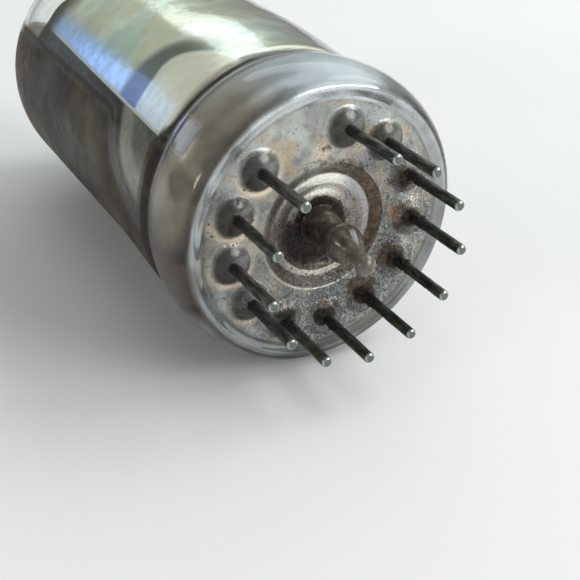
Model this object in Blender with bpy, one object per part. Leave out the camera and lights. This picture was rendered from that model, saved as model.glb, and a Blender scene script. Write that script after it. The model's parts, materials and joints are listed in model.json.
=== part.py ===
"""Twelve-pin all-glass receiving tube: envelope, pins, getter and the electrode mount inside.

Every piece is shaped in the tube's own frame, with z running up the axis from the seating plane to
the dome. One empty then lays that axis along +Y, so the pins point to -Y and the tube lies on its side.
"""
import math

import bmesh
import bpy
from mathutils import Matrix, Vector

MM = 0.001
GAP = 0.3 * MM

# Envelope
BULB_R = 14.2 * MM
WALL = 1.0 * MM
SEATED_HEIGHT = 60.3 * MM
DOME_HEIGHT = 11.5 * MM
STEM_RIM_R = 14.66 * MM
STEM_TOP = 7.7 * MM
STEM_THICKNESS = 3.15 * MM
FACE_Z = 0.25 * MM
RECESS_R = 6.05 * MM
RECESS_DEPTH = 0.85 * MM
SEAT_INNER_R = 12.75 * MM
SEAT_OUTER_R = 13.2 * MM
BEAD_R = 1.95 * MM
BEAD_HEIGHT = 0.9 * MM
INNER_BEAD_R = 1.55 * MM
INNER_BEAD_HEIGHT = 0.7 * MM
EXHAUST_BORE_R = 1.6 * MM
TIP_LENGTH = 7.95 * MM
TIP_BASE_R = 2.8 * MM
TIP_BALL_R = 1.6 * MM
TIP_NIB_R = 0.64 * MM
TIP_LEAN = Vector((-0.2, 0.35)) * MM

# Pins: twelve on thirteen equal places, so one place stays empty
PIN_CIRCLE_R = 9.525 * MM
PIN_R = 0.508 * MM
PIN_LENGTH = 8.1 * MM
PIN_INNER_END = 4.9 * MM
PIN_COUNT = 12
PIN_PLACES = 13
EMPTY_PLACE_ANGLE = math.radians(-105.1)

# Mount inside: spacers, rods and wires
MICA_THICKNESS = 0.3 * MM
MICA_R = 12.4 * MM
MICA_NOTCH = 0.7 * MM
MICA_TEETH = 20
LOWER_MICA_Z = 13.0 * MM
UPPER_MICA_Z = 45.5 * MM
ROD_BOTTOM = 11.2 * MM
ROD_TOP = 47.0 * MM
SLEEVE_BOTTOM = 11.8 * MM
SLEEVE_TOP = 46.8 * MM
SLEEVE_WALL = 0.2 * MM
SHEET = 0.25 * MM
LEAD_R = 0.35 * MM
LEAD_START = PIN_INNER_END + GAP
LEAD_END = 12.3 * MM
LINK_R = 0.25 * MM
SHIELD_Y = -2.4 * MM
SHIELD_HALF_WIDTH = 9.9 * MM
SHIELD_LEAD_END = 17.0 * MM

# Output section: plate, beam plates, screen grid, control grid, cathode, heater
OUT_Y = 3.2 * MM
OUT_PLATE = (7.3 * MM, 4.1 * MM)
OUT_FLANGE = 9.2 * MM
OUT_PLATE_ROD_R = 0.4 * MM
BEAM_WEB_X = 6.2 * MM
BEAM_LEG_X = 2.7 * MM
BEAM_HALF_DEPTH = 3.1 * MM
SCREEN_ROD = (4.35 * MM, 0.4 * MM)
SCREEN_LOOP = (5.05 * MM, 2.35 * MM)
SCREEN_TURNS = 10
CONTROL_ROD = (2.75 * MM, 0.35 * MM)
CONTROL_LOOP = (3.38 * MM, 1.45 * MM)
CONTROL_TURNS = 13
OUT_CATHODE = (1.75 * MM, 0.85 * MM)
OUT_HEATER_PITCH = 0.6 * MM
OUT_HEATER_STRANDS = 4
HEATER_R = 0.14 * MM
GRID_WIRE_R = 0.09 * MM

# Triode section
TRI_Y = -6.3 * MM
TRI_PLATE = (4.3 * MM, 2.4 * MM)
TRI_FLANGE = 5.8 * MM
TRI_PLATE_ROD_R = 0.35 * MM
TRI_GRID_ROD = (2.1 * MM, 0.3 * MM)
TRI_GRID_LOOP = (2.67 * MM, 1.25 * MM)
TRI_GRID_TURNS = 11
TRI_CATHODE_R = 0.75 * MM
TRI_HEATER_PITCH = 0.5 * MM
TRI_HEATER_R = 0.12 * MM

# Getter
GETTER_ANGLE = math.radians(-150)
GETTER_AXIS_R = 10.4 * MM
GETTER_Z = 24.0 * MM
GETTER_RING_R = 2.0 * MM
GETTER_CHANNEL_R = 0.35 * MM
GETTER_WIRE_R = 0.25 * MM
FILM_R = 12.85 * MM
FILM_THICKNESS = 0.1 * MM
FILM_BOTTOM = 9.0 * MM
FILM_TOP = 44.0 * MM

# Facets
ROUND = 48
SMALL_ROUND = 12
WIRE_SIDES = 6
LOOP_SIDES = 4
LOOP_STEPS = 8


def clear_scene():
    for old in list(bpy.data.objects):
        bpy.data.objects.remove(old, do_unlink=True)


def make_material(name, colour, roughness, metallic=0.0, transmission=0.0):
    material = bpy.data.materials.new(name)
    material.use_nodes = True
    shader = material.node_tree.nodes["Principled BSDF"]
    shader.inputs["Base Color"].default_value = (*colour, 1.0)
    shader.inputs["Roughness"].default_value = roughness
    shader.inputs["Metallic"].default_value = metallic
    shader.inputs["Transmission Weight"].default_value = transmission
    return material


def add_piece(name, mesh_builder, material, smooth_angle=40):
    """Closes a bmesh into a named object whose faces point out."""
    bmesh.ops.recalc_face_normals(mesh_builder, faces=mesh_builder.faces)
    mesh = bpy.data.meshes.new(name)
    mesh_builder.to_mesh(mesh)
    mesh_builder.free()
    mesh.shade_smooth()
    mesh.set_sharp_from_angle(angle=math.radians(smooth_angle))
    mesh.materials.append(material)
    piece = bpy.data.objects.new(name, mesh)
    bpy.context.scene.collection.objects.link(piece)
    piece.parent = tube_axis
    return piece


def bridge(mesh_builder, loop_a, loop_b):
    """Joins two rings of corners; a ring of one corner is a pole."""
    count = max(len(loop_a), len(loop_b))
    for i in range(count):
        j = (i + 1) % count
        if len(loop_a) == 1:
            mesh_builder.faces.new((loop_a[0], loop_b[i], loop_b[j]))
        elif len(loop_b) == 1:
            mesh_builder.faces.new((loop_a[i], loop_a[j], loop_b[0]))
        else:
            mesh_builder.faces.new((loop_a[i], loop_a[j], loop_b[j], loop_b[i]))


def add_turned(mesh_builder, outline, sides, centre=(0.0, 0.0), closed=False):
    """Turns (radius, z) points round an axis at centre. Points at radius 0 become poles."""
    rings = []
    for radius, z in outline:
        steps = 1 if radius == 0.0 else sides
        ring = []
        for i in range(steps):
            turn = 2 * math.pi * i / sides
            x = centre[0] + radius * math.cos(turn)
            y = centre[1] + radius * math.sin(turn)
            ring.append(mesh_builder.verts.new((x, y, z)))
        rings.append(ring)
    for ring_a, ring_b in zip(rings, rings[1:]):
        bridge(mesh_builder, ring_a, ring_b)
    if closed:
        bridge(mesh_builder, rings[-1], rings[0])


def turned(name, outline, sides, material, centre=(0.0, 0.0), closed=False):
    mesh_builder = bmesh.new()
    add_turned(mesh_builder, outline, sides, centre, closed)
    return add_piece(name, mesh_builder, material)


def rod_outline(radius, bottom, top):
    return [(0.0, bottom), (radius, bottom), (radius, top), (0.0, top)]


def add_prism(mesh_builder, outline, bottom, top):
    lower = [mesh_builder.verts.new((x, y, bottom)) for x, y in outline]
    upper = [mesh_builder.verts.new((x, y, top)) for x, y in outline]
    mesh_builder.faces.new(lower)
    mesh_builder.faces.new(upper)
    bridge(mesh_builder, lower, upper)


def prism(name, outline, bottom, top, material):
    mesh_builder = bmesh.new()
    add_prism(mesh_builder, outline, bottom, top)
    return add_piece(name, mesh_builder, material, smooth_angle=30)


def sleeve(name, outer, inner, bottom, top, material):
    """A tube with an outer and an inner outline of equal length, open at both ends."""
    mesh_builder = bmesh.new()
    levels = [(outer, bottom), (outer, top), (inner, top), (inner, bottom)]
    loops = [[mesh_builder.verts.new((x, y, z)) for x, y in outline] for outline, z in levels]
    for i, loop in enumerate(loops):
        bridge(mesh_builder, loop, loops[(i + 1) % len(loops)])
    return add_piece(name, mesh_builder, material)


def wire(name, path, radius, sides, material, closed=False):
    """Sweeps a round section along a path, carrying one frame from point to point."""
    mesh_builder = bmesh.new()
    points = [Vector(p) for p in path]
    count = len(points)
    rings = []
    side = None
    for i, point in enumerate(points):
        ahead = points[(i + 1) % count] if closed or i < count - 1 else point
        behind = points[i - 1] if closed or i > 0 else point
        tangent = (ahead - behind).normalized()
        if side is None:
            side = tangent.orthogonal()
        side = (side - tangent * side.dot(tangent)).normalized()
        other = tangent.cross(side)
        ring = []
        for k in range(sides):
            turn = 2 * math.pi * k / sides
            offset = side * math.cos(turn) + other * math.sin(turn)
            ring.append(mesh_builder.verts.new(point + offset * radius))
        rings.append(ring)
    for ring_a, ring_b in zip(rings, rings[1:]):
        bridge(mesh_builder, ring_a, ring_b)
    if closed:
        bridge(mesh_builder, rings[-1], rings[0])
    else:
        mesh_builder.faces.new(rings[0])
        mesh_builder.faces.new(rings[-1])
    return add_piece(name, mesh_builder, material)


def smooth_path(points, steps=3):
    """A Catmull-Rom curve through the points."""
    guide = [Vector(p) for p in points]
    guide = [guide[0] * 2 - guide[1]] + guide + [guide[-1] * 2 - guide[-2]]
    path = []
    for a, b, c, d in zip(guide, guide[1:], guide[2:], guide[3:]):
        for i in range(steps):
            t = i / steps
            line = b * 2 + (c - a) * t
            bend = (a * 2 - b * 5 + c * 4 - d) * t ** 2 + (b * 3 - a - c * 3 + d) * t ** 3
            path.append((line + bend) / 2)
    path.append(guide[-2])
    return path


def ribbon(line, thickness):
    """The outline of a sheet whose section follows a line, with mitred bends."""
    left = []
    right = []
    points = [Vector(p) for p in line]
    for i, point in enumerate(points):
        before = (point - points[i - 1]).normalized() if i > 0 else None
        after = (points[i + 1] - point).normalized() if i < len(points) - 1 else None
        first = before or after
        last = after or before
        normal_a = Vector((-first.y, first.x))
        normal_b = Vector((-last.y, last.x))
        mitre = (normal_a + normal_b).normalized()
        reach = thickness / 2 / mitre.dot(normal_a)
        left.append(point + mitre * reach)
        right.append(point - mitre * reach)
    return left + right[::-1]


def oval(half_width, half_depth, centre_y, grow=0.0, steps=6):
    """A flat-sided oval: two half circles joined by straight sides."""
    radius = half_depth + grow
    shift = half_width - half_depth
    outline = []
    for side in (1, -1):
        for i in range(steps + 1):
            turn = math.pi * (i / steps - 0.5)
            x = side * (shift + radius * math.cos(turn))
            y = centre_y + side * radius * math.sin(turn)
            outline.append((x, y))
    return outline


def cut(piece, cutter, operation="DIFFERENCE"):
    """Applies a Boolean with a helper object and removes the helper."""
    modifier = piece.modifiers.new("cut", "BOOLEAN")
    modifier.object = cutter
    modifier.operation = operation
    modifier.solver = "EXACT"
    bpy.context.view_layer.update()
    depsgraph = bpy.context.evaluated_depsgraph_get()
    result = bpy.data.meshes.new_from_object(piece.evaluated_get(depsgraph))
    piece.modifiers.clear()
    piece.data = result
    bpy.data.objects.remove(cutter, do_unlink=True)


def pin_place(number):
    """Pin 1 is next to the empty place, and the numbers run clockwise seen from below."""
    angle = EMPTY_PLACE_ANGLE + 2 * math.pi * number / PIN_PLACES
    return PIN_CIRCLE_R * math.cos(angle), PIN_CIRCLE_R * math.sin(angle)


def dome(radius, top, height, steps=7):
    """Quarter ellipse from the pole down to the straight wall."""
    arc = []
    for i in range(steps + 1):
        turn = math.pi / 2 * i / steps
        arc.append((radius * math.sin(turn), top - height + height * math.cos(turn)))
    arc[0] = (0.0, top)
    return arc


def make_bulb():
    bottom = STEM_TOP + GAP
    inner_r = BULB_R - WALL
    outer = dome(BULB_R, SEATED_HEIGHT, DOME_HEIGHT)
    inner = dome(inner_r, SEATED_HEIGHT - WALL, DOME_HEIGHT - WALL)
    outline = outer + [(BULB_R, bottom), (inner_r, bottom)] + inner[::-1]
    turned("glass_bulb", outline, ROUND, clear_glass)


def stem_outline():
    """From the bore, over the recess, face, seat and rounded rim, then back along the inside."""
    floor = FACE_Z + RECESS_DEPTH
    inner_z = FACE_Z + STEM_THICKNESS
    seam_inner_r = BULB_R - WALL
    return [
        (EXHAUST_BORE_R, floor),
        (RECESS_R - 1.7 * MM, floor),
        (RECESS_R - 1.1 * MM, floor - 0.3 * MM),
        (RECESS_R, FACE_Z),
        (SEAT_INNER_R - 0.6 * MM, FACE_Z),
        (SEAT_INNER_R, 0.0),
        (SEAT_OUTER_R, 0.0),
        (STEM_RIM_R - 0.75 * MM, 0.45 * MM),
        (STEM_RIM_R - 0.25 * MM, 1.6 * MM),
        (STEM_RIM_R, 3.6 * MM),
        (STEM_RIM_R - 0.2 * MM, 6.4 * MM),
        (BULB_R, STEM_TOP),
        (seam_inner_r, STEM_TOP),
        (seam_inner_r - 0.5 * MM, inner_z + 1.6 * MM),
        (seam_inner_r - 1.9 * MM, inner_z),
        (EXHAUST_BORE_R, inner_z),
    ]


def make_stem():
    stem = turned("button_stem", stem_outline(), ROUND, stem_glass, closed=True)
    inner_z = FACE_Z + STEM_THICKNESS
    bead_top = FACE_Z + 0.5 * MM
    beads = bmesh.new()
    holes = bmesh.new()
    for number in range(1, PIN_COUNT + 1):
        place = pin_place(number)
        outer_bead = [
            (0.0, FACE_Z - BEAD_HEIGHT),
            (0.45 * BEAD_R, FACE_Z - BEAD_HEIGHT),
            (0.8 * BEAD_R, FACE_Z - 0.6 * BEAD_HEIGHT),
            (BEAD_R, FACE_Z),
            (0.9 * BEAD_R, bead_top),
            (0.0, bead_top),
        ]
        inner_bead = [
            (0.0, inner_z - 0.5 * MM),
            (INNER_BEAD_R, inner_z - 0.5 * MM),
            (INNER_BEAD_R, inner_z + 0.1 * MM),
            (0.6 * INNER_BEAD_R, inner_z + INNER_BEAD_HEIGHT),
            (0.0, inner_z + INNER_BEAD_HEIGHT),
        ]
        add_turned(beads, outer_bead, SMALL_ROUND, place)
        add_turned(beads, inner_bead, SMALL_ROUND, place)
        hole = rod_outline(PIN_R + GAP, -2 * MM, inner_z + 2 * MM)
        add_turned(holes, hole, SMALL_ROUND, place)
    cut(stem, add_piece("bead_helper", beads, stem_glass), "UNION")
    cut(stem, add_piece("hole_helper", holes, stem_glass))


def make_exhaust_tip():
    """Sealed-off pumping tube: a flared foot, a round bulge and a drawn nib, leaning a little."""
    foot = FACE_Z + RECESS_DEPTH - GAP
    outline = [
        (0.0, -TIP_LENGTH),
        (0.7 * TIP_NIB_R, -TIP_LENGTH + 0.2 * MM),
        (TIP_NIB_R, -TIP_LENGTH + 0.7 * MM),
        (0.95 * TIP_NIB_R, -TIP_LENGTH + 1.5 * MM),
        (0.6 * TIP_BALL_R, -5.3 * MM),
        (0.8 * TIP_BALL_R, -4.4 * MM),
        (TIP_BALL_R, -3.2 * MM),
        (0.95 * TIP_BALL_R, -2.1 * MM),
        (0.68 * TIP_BASE_R, -0.8 * MM),
        (0.86 * TIP_BASE_R, 0.0),
        (TIP_BASE_R, foot),
        (0.8 * EXHAUST_BORE_R, foot),
        (0.7 * EXHAUST_BORE_R, -0.8 * MM),
        (0.35 * EXHAUST_BORE_R, -2.8 * MM),
        (0.0, -3.6 * MM),
    ]
    tip = turned("exhaust_tip", outline, 2 * SMALL_ROUND, smoked_glass)
    lean_from = -2.5 * MM
    for corner in tip.data.vertices:
        share = max(0.0, (lean_from - corner.co.z) / (TIP_LENGTH + lean_from))
        corner.co.x += TIP_LEAN.x * share ** 2
        corner.co.y += TIP_LEAN.y * share ** 2


def make_pins():
    chamfer = 0.12 * MM
    outline = [
        (0.0, -PIN_LENGTH),
        (PIN_R - chamfer, -PIN_LENGTH),
        (PIN_R, -PIN_LENGTH + chamfer),
        (PIN_R, PIN_INNER_END),
        (0.0, PIN_INNER_END),
    ]
    for number in range(1, PIN_COUNT + 1):
        turned(f"contact_pin_{number:02d}", outline, SMALL_ROUND, pin_metal, pin_place(number))


def mica_outline():
    outline = []
    for i in range(2 * MICA_TEETH):
        radius = MICA_R - MICA_NOTCH * (i % 2)
        turn = math.pi * i / MICA_TEETH
        outline.append((radius * math.cos(turn), radius * math.sin(turn)))
    return outline


def rod_places():
    """Every rod that passes through both spacers: (name, x, y, radius)."""
    out_rod_x = OUT_FLANGE + GAP + OUT_PLATE_ROD_R
    tri_rod_x = TRI_FLANGE + GAP + TRI_PLATE_ROD_R
    kinds = [
        ("output_plate_rod", out_rod_x, OUT_Y, OUT_PLATE_ROD_R),
        ("screen_grid_rod", SCREEN_ROD[0], OUT_Y, SCREEN_ROD[1]),
        ("control_grid_rod", CONTROL_ROD[0], OUT_Y, CONTROL_ROD[1]),
        ("triode_plate_rod", tri_rod_x, TRI_Y, TRI_PLATE_ROD_R),
        ("triode_grid_rod", TRI_GRID_ROD[0], TRI_Y, TRI_GRID_ROD[1]),
    ]
    places = []
    for name, x, y, radius in kinds:
        places.append((f"{name}_left", -x, y, radius))
        places.append((f"{name}_right", x, y, radius))
    return places


def shield_lead_place():
    return -SHIELD_HALF_WIDTH + 0.6 * MM, SHIELD_Y + SHEET / 2 + GAP + LEAD_R


def make_spacer(name, bottom, with_lead_hole):
    spacer = prism(name, mica_outline(), bottom, bottom + MICA_THICKNESS, mica)
    low = bottom - 1 * MM
    high = bottom + MICA_THICKNESS + 1 * MM
    holes = bmesh.new()
    for _, x, y, radius in rod_places():
        add_turned(holes, rod_outline(radius + GAP, low, high), SMALL_ROUND - 2, (x, y))
    if with_lead_hole:
        hole = rod_outline(LEAD_R + GAP, low, high)
        add_turned(holes, hole, SMALL_ROUND - 2, shield_lead_place())
    add_turned(holes, rod_outline(TRI_CATHODE_R + GAP, low, high), SMALL_ROUND, (0.0, TRI_Y))
    add_prism(holes, oval(*OUT_CATHODE, OUT_Y, grow=GAP), low, high)
    cut(spacer, add_piece("hole_helper", holes, mica))


def make_rods():
    for name, x, y, radius in rod_places():
        outline = rod_outline(radius, ROD_BOTTOM, ROD_TOP)
        turned(name, outline, SMALL_ROUND - 4, nickel, (x, y))


def make_grid_winding(name, loop, centre_y, turns):
    """One wire wound in a flat oval spiral round its two rods."""
    bottom = LOWER_MICA_Z + MICA_THICKNESS + 3 * MM
    height = UPPER_MICA_Z - bottom - 3 * MM
    path = []
    for i in range(turns * LOOP_STEPS + 1):
        turn = 2 * math.pi * i / LOOP_STEPS
        x = loop[0] * math.cos(turn)
        y = centre_y + loop[1] * math.sin(turn)
        path.append((x, y, bottom + height * i / (turns * LOOP_STEPS)))
    wire(name, path, GRID_WIRE_R, LOOP_SIDES, grid_wire)


def make_plate_pair(name, half_size, flange, centre_y):
    """Two pressed halves whose side flanges face each other."""
    half_width, half_depth = half_size
    corner = 0.35 * half_depth
    low = LOWER_MICA_Z + MICA_THICKNESS + GAP
    high = UPPER_MICA_Z - GAP
    foot = (GAP + SHEET) / 2
    for label, side in (("front", -1), ("back", 1)):
        section = [
            (-flange, foot),
            (-half_width, foot),
            (-half_width, half_depth - corner),
            (-half_width + corner, half_depth),
            (half_width - corner, half_depth),
            (half_width, half_depth - corner),
            (half_width, foot),
            (flange, foot),
        ]
        line = [(x, centre_y + side * y) for x, y in section]
        prism(f"{name}_{label}", ribbon(line, SHEET), low, high, plate_metal)


def make_beam_plates():
    low = LOWER_MICA_Z + MICA_THICKNESS + GAP
    high = UPPER_MICA_Z - GAP
    corner = 0.8 * MM
    for label, side in (("left", -1), ("right", 1)):
        section = [
            (BEAM_LEG_X, BEAM_HALF_DEPTH),
            (BEAM_WEB_X - corner, BEAM_HALF_DEPTH),
            (BEAM_WEB_X, BEAM_HALF_DEPTH - corner),
            (BEAM_WEB_X, corner - BEAM_HALF_DEPTH),
            (BEAM_WEB_X - corner, -BEAM_HALF_DEPTH),
            (BEAM_LEG_X, -BEAM_HALF_DEPTH),
        ]
        line = [(side * x, OUT_Y + y) for x, y in section]
        prism(f"beam_plate_{label}", ribbon(line, SHEET), low, high, nickel)


def make_shield():
    low = LOWER_MICA_Z + MICA_THICKNESS + GAP
    high = UPPER_MICA_Z - GAP
    line = [(-SHIELD_HALF_WIDTH, SHIELD_Y), (SHIELD_HALF_WIDTH, SHIELD_Y)]
    prism("section_shield", ribbon(line, SHEET), low, high, nickel)


def make_cathodes():
    outer = oval(*OUT_CATHODE, OUT_Y)
    inner = oval(*OUT_CATHODE, OUT_Y, grow=-SLEEVE_WALL)
    sleeve("output_cathode", outer, inner, SLEEVE_BOTTOM, SLEEVE_TOP, oxide)
    outline = [
        (TRI_CATHODE_R, SLEEVE_BOTTOM),
        (TRI_CATHODE_R, SLEEVE_TOP),
        (TRI_CATHODE_R - SLEEVE_WALL, SLEEVE_TOP),
        (TRI_CATHODE_R - SLEEVE_WALL, SLEEVE_BOTTOM),
    ]
    turned("triode_cathode", outline, SMALL_ROUND, oxide, (0.0, TRI_Y), closed=True)


def make_heater(name, centre_y, strands, pitch, radius, bottom):
    """A coated wire folded into upright strands, with both ends below the sleeve."""
    top = SLEEVE_TOP - 1.5 * MM
    fold_bottom = SLEEVE_BOTTOM + 2.5 * MM
    first_x = -pitch * (strands - 1) / 2
    bend = pitch / 2
    bend_steps = 4
    path = [(first_x, centre_y, bottom)]
    for strand in range(strands - 1):
        rising = strand % 2 == 0
        middle_x = first_x + pitch * (strand + 0.5)
        end_z = top - bend if rising else fold_bottom + bend
        sign = 1 if rising else -1
        for i in range(bend_steps + 1):
            turn = math.pi * i / bend_steps
            x = middle_x - bend * math.cos(turn)
            path.append((x, centre_y, end_z + sign * bend * math.sin(turn)))
    path.append((-first_x, centre_y, bottom))
    wire(name, path, radius, LOOP_SIDES + 1, heater_coat)


def make_leads():
    """Wires from the pins' inner ends to the rods, sleeves and heaters above them."""
    rods = {name: (x, y, radius) for name, x, y, radius in rod_places()}
    rod_of_pin = {
        2: "triode_grid_rod_right",
        3: "triode_plate_rod_right",
        4: "output_plate_rod_right",
        5: "screen_grid_rod_right",
        6: "control_grid_rod_right",
        8: "control_grid_rod_left",
        9: "screen_grid_rod_left",
    }
    for number, rod in rod_of_pin.items():
        x, y, radius = rods[rod]
        start = Vector(pin_place(number))
        towards = (start - Vector((x, y))).normalized()
        end = Vector((x, y)) + towards * (radius + GAP + LEAD_R)
        add_lead(number, start, [start.lerp(end, 0.45)], end)
    beside_cathode = OUT_Y + OUT_CATHODE[1] + GAP + LEAD_R
    add_lead(7, pin_place(7), [(0.1 * MM, 7.5 * MM)], (0.0, beside_cathode))
    beside_triode = (-0.75 * MM, TRI_Y + TRI_CATHODE_R + GAP + LEAD_R)
    add_lead(11, pin_place(11), [(-5.5 * MM, -3.9 * MM), (-2.2 * MM, -4.4 * MM)], beside_triode)
    add_lead(10, pin_place(10), [(-9.6 * MM, 0.0)], shield_lead_place(), SHIELD_LEAD_END)


def add_lead(number, start, way, end, end_z=LEAD_END):
    rise = 1.1 * MM
    low = LEAD_START + rise
    high = LEAD_END - 2 * rise
    points = [(start[0], start[1], LEAD_START), (start[0], start[1], low)]
    for i, place in enumerate(way):
        share = (i + 1) / (len(way) + 1)
        points.append((place[0], place[1], low + (high - low) * share))
    points.append((end[0], end[1], high))
    points.append((end[0], end[1], end_z))
    wire(f"inner_lead_{number:02d}", smooth_path(points), LEAD_R, WIRE_SIDES, nickel)


def make_heater_circuit():
    """Pins 1 and 12 feed the triode heater, and two links carry on to the output heater."""
    joint_x = 1.5 * MM
    joint_z = 8.9 * MM
    low = LEAD_START + 1.1 * MM
    link_x = OUT_HEATER_PITCH * (OUT_HEATER_STRANDS - 1) / 2
    for number, side, label in ((1, 1, "right"), (12, -1, "left")):
        x, y = pin_place(number)
        points = [
            (x, y, LEAD_START),
            (x, y, low),
            ((x + side * joint_x) / 2, (y + TRI_Y) / 2 - 0.4 * MM, low + 1.2 * MM),
            (side * joint_x, TRI_Y - 0.3 * MM, joint_z),
        ]
        wire(f"inner_lead_{number:02d}", smooth_path(points), LEAD_R, WIRE_SIDES, nickel)
        link = [
            (side * link_x, OUT_Y, ROD_BOTTOM - 0.5 * MM),
            (side * link_x, OUT_Y - 0.4 * MM, joint_z + 0.5 * MM),
            (side * link_x, 0.0, joint_z),
            (side * link_x, TRI_Y + 2 * MM, joint_z),
            (side * link_x, TRI_Y + 0.5 * MM, joint_z),
        ]
        wire(f"heater_link_{label}", smooth_path(link), LINK_R, WIRE_SIDES, nickel)


def make_getter():
    radial = Vector((math.cos(GETTER_ANGLE), math.sin(GETTER_ANGLE), 0.0))
    across = Vector((-radial.y, radial.x, 0.0))
    up = Vector((0.0, 0.0, 1.0))
    centre = radial * GETTER_AXIS_R + up * GETTER_Z
    ring = []
    ring_steps = 20
    for i in range(ring_steps):
        turn = 2 * math.pi * i / ring_steps
        ring.append(centre + (across * math.cos(turn) + up * math.sin(turn)) * GETTER_RING_R)
    wire("getter_ring", ring, GETTER_CHANNEL_R, SMALL_ROUND - 4, getter_metal, closed=True)
    top = GETTER_Z - GETTER_RING_R - GETTER_CHANNEL_R - GAP
    bottom = LOWER_MICA_Z + MICA_THICKNESS + GAP
    post = [
        (centre.x, centre.y, bottom),
        (centre.x, centre.y, (bottom + top) / 2),
        (centre.x, centre.y, top),
    ]
    wire("getter_post", post, GETTER_WIRE_R, WIRE_SIDES, nickel)
    film = [
        (FILM_R, FILM_BOTTOM),
        (FILM_R, FILM_TOP),
        (FILM_R - FILM_THICKNESS, FILM_TOP),
        (FILM_R - FILM_THICKNESS, FILM_BOTTOM),
    ]
    turned("getter_film", film, ROUND, getter_mirror, closed=True)


clear_scene()
tube_axis = bpy.data.objects.new("tube_axis", None)
bpy.context.scene.collection.objects.link(tube_axis)
tube_axis.matrix_world = Matrix.Rotation(math.radians(-90), 4, "X")

clear_glass = make_material("clear_glass", (0.86, 0.88, 0.87), 0.03, transmission=0.9)
stem_glass = make_material("stem_glass", (0.62, 0.60, 0.57), 0.15, transmission=0.6)
smoked_glass = make_material("smoked_glass", (0.16, 0.12, 0.10), 0.1, transmission=0.5)
pin_metal = make_material("pin_metal", (0.13, 0.13, 0.12), 0.45, metallic=1.0)
nickel = make_material("nickel", (0.55, 0.54, 0.52), 0.35, metallic=1.0)
plate_metal = make_material("plate_metal", (0.07, 0.07, 0.075), 0.6, metallic=0.6)
grid_wire = make_material("grid_wire", (0.6, 0.55, 0.42), 0.3, metallic=1.0)
oxide = make_material("oxide", (0.83, 0.83, 0.80), 0.8)
heater_coat = make_material("heater_coat", (0.9, 0.9, 0.88), 0.8)
mica = make_material("mica", (0.72, 0.70, 0.63), 0.25, transmission=0.3)
getter_metal = make_material("getter_metal", (0.40, 0.38, 0.36), 0.5, metallic=1.0)
getter_mirror = make_material("getter_mirror", (0.66, 0.67, 0.65), 0.08, metallic=1.0)

make_bulb()
make_stem()
make_exhaust_tip()
make_pins()
make_spacer("lower_mica", LOWER_MICA_Z, with_lead_hole=True)
make_spacer("upper_mica", UPPER_MICA_Z, with_lead_hole=False)
make_rods()
make_plate_pair("output_plate", OUT_PLATE, OUT_FLANGE, OUT_Y)
make_beam_plates()
make_grid_winding("screen_grid_winding", SCREEN_LOOP, OUT_Y, SCREEN_TURNS)
make_grid_winding("control_grid_winding", CONTROL_LOOP, OUT_Y, CONTROL_TURNS)
make_plate_pair("triode_plate", TRI_PLATE, TRI_FLANGE, TRI_Y)
make_grid_winding("triode_grid_winding", TRI_GRID_LOOP, TRI_Y, TRI_GRID_TURNS)
make_shield()
make_cathodes()
make_heater("output_heater", OUT_Y, OUT_HEATER_STRANDS, OUT_HEATER_PITCH, HEATER_R, ROD_BOTTOM)
make_heater("triode_heater", TRI_Y, 2, TRI_HEATER_PITCH, TRI_HEATER_R, ROD_BOTTOM - 1 * MM)
make_leads()
make_heater_circuit()
make_getter()
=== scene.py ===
"""Looks of the twelve-pin receiving tube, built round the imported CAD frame.

The tube's axis runs along Y. Its seating plane is y = 0, the pins point to -Y and the dome to +Y.
Angles round the axis are measured from +X towards +Z.
"""
import json
import math

import bpy
import numpy as np
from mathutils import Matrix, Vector


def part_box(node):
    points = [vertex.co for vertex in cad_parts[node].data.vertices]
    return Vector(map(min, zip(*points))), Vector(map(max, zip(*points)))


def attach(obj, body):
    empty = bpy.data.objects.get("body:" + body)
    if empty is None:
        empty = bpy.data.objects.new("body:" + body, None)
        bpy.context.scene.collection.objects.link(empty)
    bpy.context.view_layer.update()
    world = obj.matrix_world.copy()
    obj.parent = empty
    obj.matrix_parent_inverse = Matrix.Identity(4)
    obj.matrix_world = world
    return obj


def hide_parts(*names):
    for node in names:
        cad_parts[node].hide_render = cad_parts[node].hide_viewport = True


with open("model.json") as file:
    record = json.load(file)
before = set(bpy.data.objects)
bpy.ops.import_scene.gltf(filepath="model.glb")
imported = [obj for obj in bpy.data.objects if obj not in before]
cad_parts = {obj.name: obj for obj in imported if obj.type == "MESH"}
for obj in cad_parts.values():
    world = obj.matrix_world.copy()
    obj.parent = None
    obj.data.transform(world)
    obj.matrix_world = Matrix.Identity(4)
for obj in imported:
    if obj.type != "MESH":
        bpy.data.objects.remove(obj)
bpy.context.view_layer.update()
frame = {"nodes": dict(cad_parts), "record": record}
nodes = frame["nodes"]

MM = 0.001
PIN_COUNT = 12

# Sizes read from the frame
bulb_low, bulb_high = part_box("glass_bulb")
stem_low, stem_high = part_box("button_stem")
tip_low, tip_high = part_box("exhaust_tip")
film_low, film_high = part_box("getter_film")
BULB_R = bulb_high.x
RIM_R = stem_high.x
DOME_TOP = bulb_high.y
SEAM_Y = (bulb_low.y + stem_high.y) / 2

# Wall, face, recess and bead of the glass, inside those boxes
WALL = 1.0 * MM
FACE_Y = 0.25 * MM
INNER_Y = 3.4 * MM
DOME_HEIGHT = 11.5 * MM
RECESS_R = 6.2 * MM
RECESS_STEP_R = 4.95 * MM
STEP_DEPTH = 0.5 * MM
RECESS_DEPTH = 0.8 * MM
BEAD_R = 1.95 * MM
BEAD_HEIGHT = 0.9 * MM
FILM_DEPTH = 0.04 * MM
WALL_STEPS = np.linspace(SEAM_Y + 2.6 * MM, DOME_TOP - DOME_HEIGHT - 1 * MM, 46)

# The cream half disc of the film: the angle in degrees and the height of its middle
PATCH_TURN = 138.0
PATCH_Y = SEAM_Y + 1.5 * MM

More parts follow.
